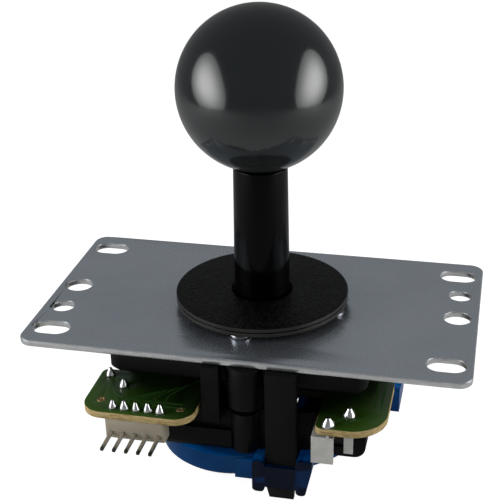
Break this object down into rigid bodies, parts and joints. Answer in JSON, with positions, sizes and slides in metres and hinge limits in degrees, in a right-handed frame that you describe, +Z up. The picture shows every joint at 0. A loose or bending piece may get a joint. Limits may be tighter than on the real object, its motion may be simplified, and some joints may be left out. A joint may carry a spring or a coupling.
{
  "type": "arcade joystick lever",
  "caption": "Ball-topped arcade joystick lever on a slotted steel mounting plate, with lever switches on a circuit board and a clear square restrictor gate below.",
  "frame": {"origin": "centre of the mounting plate's top face, on the axis of the upright lever", "axes": "+Z up along the upright lever, +X to the right along the plate's length, -Y to the front, the side of the pin header"},
  "size_m": [0.095, 0.0709, 0.0985],
  "materials": {
    "plate_zinc": "zinc plated, satin",
    "steel": "bright",
    "ball": "gloss",
    "cover": "gloss",
    "washer": "fine wrinkle grain, semi-gloss",
    "housing": "moulded, semi-matt",
    "pivot": "smooth",
    "board": "satin solder mask",
    "solder": "bright",
    "header": "smooth",
    "pin": "tinned",
    "case": "moulded, semi-matt",
    "plunger": "smooth",
    "gate": "clear, gloss"
  },
  "bodies": {
    "base": {"mounting_plate": "plate_zinc", "plate_screws": "steel", "upper_housing": "housing", "lower_housing": "housing", "circuit_board": "board", "solder_joints": "solder", "header_body": "header", "header_pins": "pin", "spring_seat": "steel", "gate_frame": "gate", "restrictor_plate": "gate", "switch_case_right": "case", "switch_case_rear": "case", "switch_case_left": "case", "switch_case_front": "case", "switch_leads_right": "pin", "switch_leads_rear": "pin", "switch_leads_left": "pin", "switch_leads_front": "pin"},
    "swivel": {"return_spring": "steel"},
    "pivot": {"pivot_ball": "pivot"},
    "stick": {"shaft": "steel", "shaft_cover": "cover", "ball_top": "ball", "ball_insert": "steel", "actuator": "pivot", "pivot_clip": "steel", "actuator_clip": "steel"},
    "lower_washer": {"slip_washer": "washer"},
    "upper_washer": {"dust_washer": "washer"},
    "lever_right": {"switch_blade_right": "steel", "switch_plunger_right": "plunger"},
    "lever_rear": {"switch_blade_rear": "steel", "switch_plunger_rear": "plunger"},
    "lever_left": {"switch_blade_left": "steel", "switch_plunger_left": "plunger"},
    "lever_front": {"switch_blade_front": "steel", "switch_plunger_front": "plunger"}
  },
  "joints": [
    {"name": "tilt_x", "type": "hinge", "parent": "base", "child": "swivel", "pos_m": [0, 0, -0.008], "axis": [1, 0, 0], "range_deg": [-8, 8], "stiffness_Nm_per_rad": 0.3, "deforming": ["return_spring"]},
    {"name": "tilt_y", "type": "hinge", "parent": "swivel", "child": "pivot", "pos_m": [0, 0, -0.008], "axis": [0, 1, 0], "range_deg": [-8, 8], "stiffness_Nm_per_rad": 0.3, "deforming": ["return_spring"]},
    {"name": "spin", "type": "hinge", "parent": "pivot", "child": "stick", "pos_m": [0, 0, -0.008], "axis": [0, 0, 1], "continuous": true},
    {"name": "slide_y", "type": "slide", "parent": "base", "child": "lower_washer", "axis": [0, 1, 0], "range_m": [-0.0016, 0.0016]},
    {"name": "slide_x", "type": "slide", "parent": "lower_washer", "child": "upper_washer", "axis": [1, 0, 0], "range_m": [-0.0016, 0.0016]},
    {"name": "press_right", "type": "hinge", "parent": "base", "child": "lever_right", "pos_m": [0.0132, -0.0205, -0.0174], "axis": [0, 0, 1], "range_deg": [-3.8, 3.8]},
    {"name": "press_rear", "type": "hinge", "parent": "base", "child": "lever_rear", "pos_m": [0.0205, 0.0132, -0.0174], "axis": [0, 0, 1], "range_deg": [-3.8, 3.8]},
    {"name": "press_left", "type": "hinge", "parent": "base", "child": "lever_left", "pos_m": [-0.0132, 0.0205, -0.0174], "axis": [0, 0, 1], "range_deg": [-3.8, 3.8]},
    {"name": "press_front", "type": "hinge", "parent": "base", "child": "lever_front", "pos_m": [-0.0205, -0.0132, -0.0174], "axis": [0, 0, 1], "range_deg": [-3.8, 3.8]}
  ],
  "couplings": [
    {"joint": "slide_y", "follows": "tilt_x", "m_per_rad": -0.01075},
    {"joint": "slide_x", "follows": "tilt_y", "m_per_rad": 0.01075},
    {"joint": "press_right", "follows": "tilt_y", "ratio": 0.4585},
    {"joint": "press_rear", "follows": "tilt_x", "ratio": -0.4585},
    {"joint": "press_left", "follows": "tilt_y", "ratio": -0.4585},
    {"joint": "press_front", "follows": "tilt_x", "ratio": 0.4585}
  ]
}
